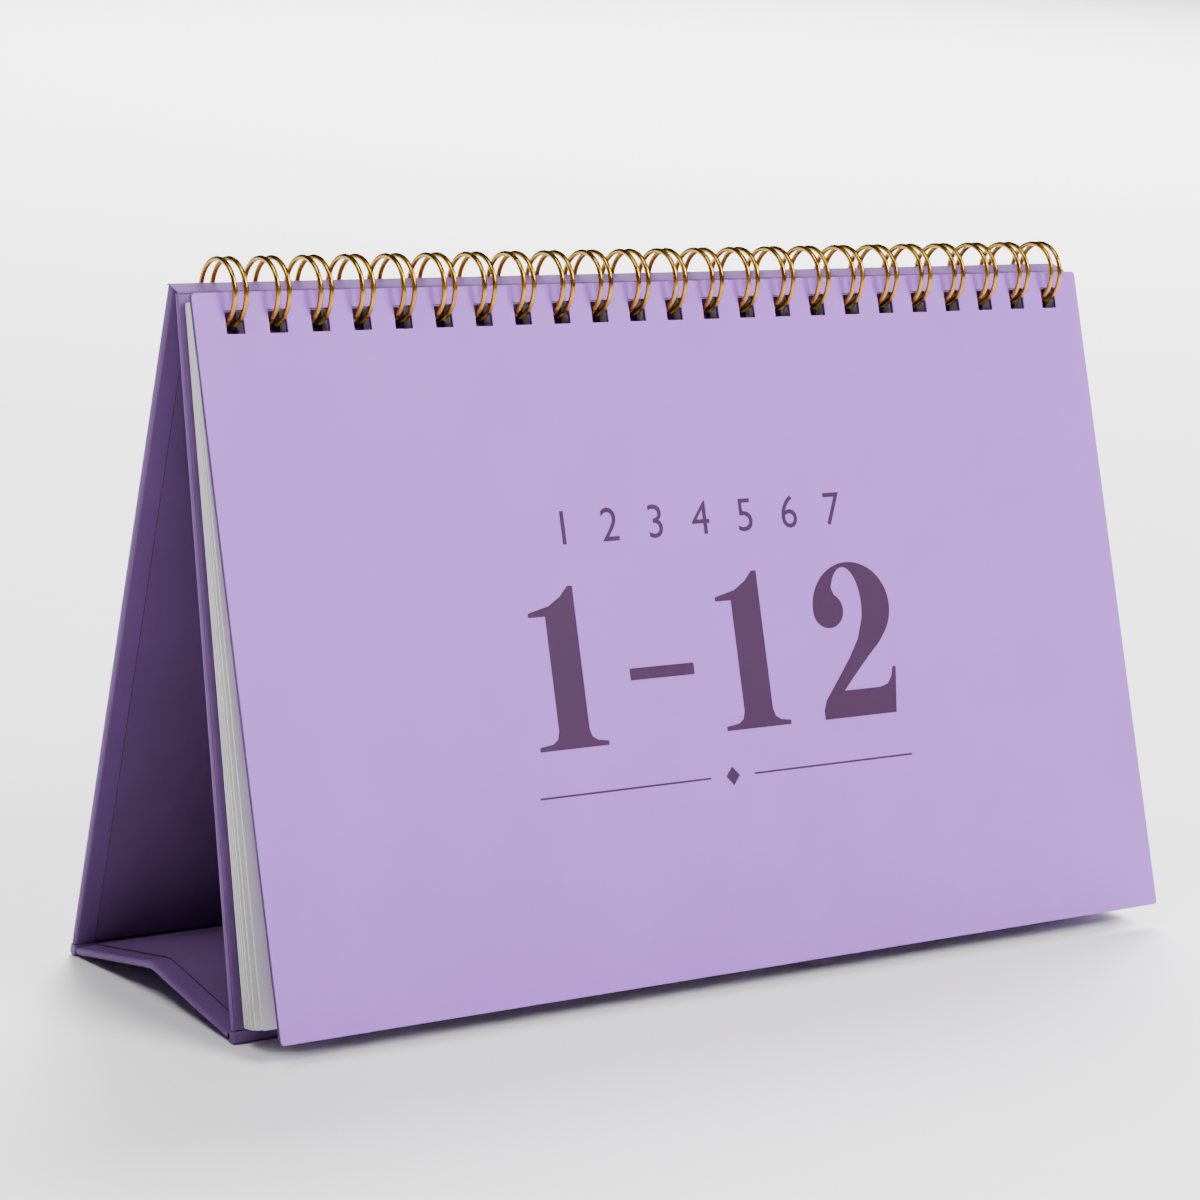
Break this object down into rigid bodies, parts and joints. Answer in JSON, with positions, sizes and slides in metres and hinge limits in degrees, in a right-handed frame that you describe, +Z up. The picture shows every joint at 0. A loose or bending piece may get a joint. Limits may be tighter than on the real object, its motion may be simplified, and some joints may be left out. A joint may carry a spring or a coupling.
{
  "type": "desk calendar",
  "caption": "Tent desk calendar: a folding stand of wrapped boards, with leaves and a hard cover that turn on a gold twin-loop wire along its ridge.",
  "frame": {"origin": "on the floor, in the middle of the whole object", "axes": "+Z up, the cover faces -Y, +X to the right of someone who reads it"},
  "size_m": [0.203, 0.0734, 0.1311],
  "materials": {
    "covering_paper": "lilac covering paper, fine matt tooth",
    "lining_paper": "lilac lining paper, matt",
    "grey_board": "solid grey board, raw",
    "leaf_paper": "white uncoated paper",
    "cover_board": "lilac laminated board, matt",
    "gold_wire": "gold lacquered steel wire"
  },
  "bodies": {
    "stand_front": {"front_board": "grey_board", "front_wrap": "covering_paper", "front_liner": "lining_paper", "ridge_strip": "covering_paper", "front_foot_strip": "covering_paper", "wire_binding": "gold_wire"},
    "back_panel": {"back_board": "grey_board", "back_wrap": "covering_paper", "back_liner": "lining_paper", "back_foot_strip": "covering_paper"},
    "base_front": {"base_front_board": "grey_board", "base_front_wrap": "covering_paper", "base_front_liner": "lining_paper"},
    "base_back": {"base_back_board": "grey_board", "base_back_wrap": "covering_paper", "base_back_liner": "lining_paper"},
    "leaf_1_page": {"leaf_1": "leaf_paper"},
    "leaf_2_page": {"leaf_2": "leaf_paper"},
    "leaf_3_page": {"leaf_3": "leaf_paper"},
    "leaf_4_page": {"leaf_4": "leaf_paper"},
    "leaf_5_page": {"leaf_5": "leaf_paper"},
    "leaf_6_page": {"leaf_6": "leaf_paper"},
    "cover_page": {"front_cover": "cover_board"}
  },
  "joints": [
    {"name": "ridge_fold", "type": "hinge", "parent": "stand_front", "child": "back_panel", "pos_m": [0, 0.00715, 0.12577], "axis": [-1, 0, 0], "range_deg": [0, 16]},
    {"name": "base_front_fold", "type": "hinge", "parent": "stand_front", "child": "base_front", "pos_m": [0, -0.02039, 0.002], "axis": [1, 0, 0], "range_deg": [0, 66.2]},
    {"name": "base_back_fold", "type": "hinge", "parent": "back_panel", "child": "base_back", "pos_m": [0, 0.03469, 0.002], "axis": [-1, 0, 0], "range_deg": [0, 66.2]},
    {"name": "leaf_1_turn", "type": "hinge", "parent": "stand_front", "child": "leaf_1_page", "pos_m": [0, 0.00375, 0.12539], "axis": [-1, 0, 0], "range_deg": [0, 180]},
    {"name": "leaf_2_turn", "type": "hinge", "parent": "leaf_1_page", "child": "leaf_2_page", "pos_m": [0, 0.00375, 0.12539], "axis": [-1, 0, 0], "range_deg": [0, 180]},
    {"name": "leaf_3_turn", "type": "hinge", "parent": "leaf_2_page", "child": "leaf_3_page", "pos_m": [0, 0.00375, 0.12539], "axis": [-1, 0, 0], "range_deg": [0, 180]},
    {"name": "leaf_4_turn", "type": "hinge", "parent": "leaf_3_page", "child": "leaf_4_page", "pos_m": [0, 0.00375, 0.12539], "axis": [-1, 0, 0], "range_deg": [0, 180]},
    {"name": "leaf_5_turn", "type": "hinge", "parent": "leaf_4_page", "child": "leaf_5_page", "pos_m": [0, 0.00375, 0.12539], "axis": [-1, 0, 0], "range_deg": [0, 180]},
    {"name": "leaf_6_turn", "type": "hinge", "parent": "leaf_5_page", "child": "leaf_6_page", "pos_m": [0, 0.00375, 0.12539], "axis": [-1, 0, 0], "range_deg": [0, 180]},
    {"name": "cover_turn", "type": "hinge", "parent": "leaf_6_page", "child": "cover_page", "pos_m": [0, 0.00375, 0.12539], "axis": [-1, 0, 0], "range_deg": [0, 180]}
  ],
  "couplings": [
    {"joint": "base_front_fold", "follows": "ridge_fold", "ratio": 4.1375},
    {"joint": "base_back_fold", "follows": "ridge_fold", "ratio": 4.1375}
  ]
}
